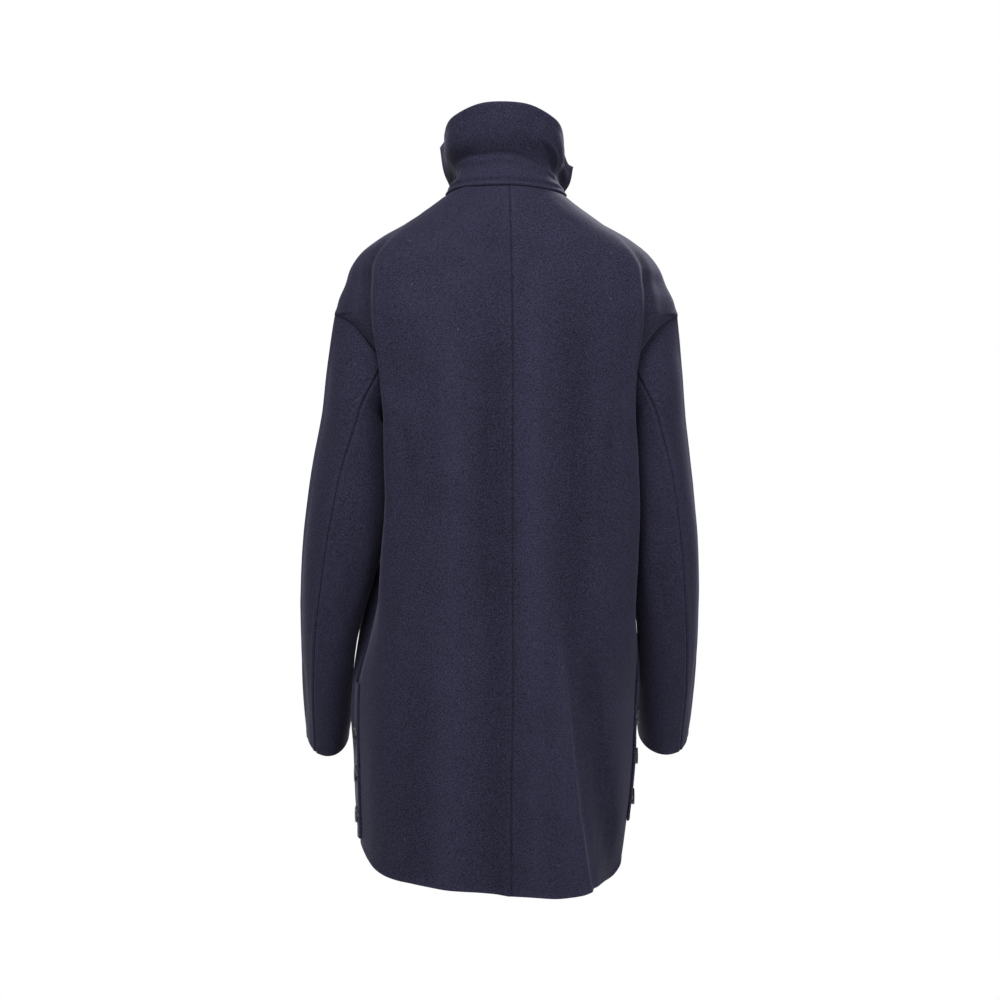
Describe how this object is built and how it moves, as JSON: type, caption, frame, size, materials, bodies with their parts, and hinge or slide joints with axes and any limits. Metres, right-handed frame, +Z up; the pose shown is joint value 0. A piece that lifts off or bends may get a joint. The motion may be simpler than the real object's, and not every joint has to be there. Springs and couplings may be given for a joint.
{
  "type": "double-breasted coat",
  "caption": "Cocoon-shaped double-breasted wool coat with a turned-up collar, dropped shoulders, buttoned side vents and a longer rounded back hem.",
  "frame": {"origin": "middle of the neck opening, 9 mm below the collar seam at the nape", "axes": "+Z up the worn coat, -Y towards its front, +X towards the wearer's left"},
  "size_m": [0.492, 0.2825, 0.9648],
  "materials": {
    "navy_wool": "brushed double-faced wool",
    "dark_button": "satin"
  },
  "bodies": {
    "root": {"back_left": "navy_wool", "back_right": "navy_wool", "collar": "navy_wool", "front_left": "navy_wool", "front_right": "navy_wool", "lapel_left": "navy_wool", "lapel_right": "navy_wool", "sleeve_back_left": "navy_wool", "sleeve_back_right": "navy_wool", "sleeve_front_left": "navy_wool", "sleeve_front_right": "navy_wool", "button_left_1": "dark_button", "button_left_2": "dark_button", "button_left_3": "dark_button", "button_right_1": "dark_button", "button_right_2": "dark_button", "button_right_3": "dark_button", "vent_button_left_1": "dark_button", "vent_button_left_2": "dark_button", "vent_button_left_3": "dark_button", "vent_button_right_1": "dark_button", "vent_button_right_2": "dark_button", "vent_button_right_3": "dark_button"}
  },
  "joints": []
}
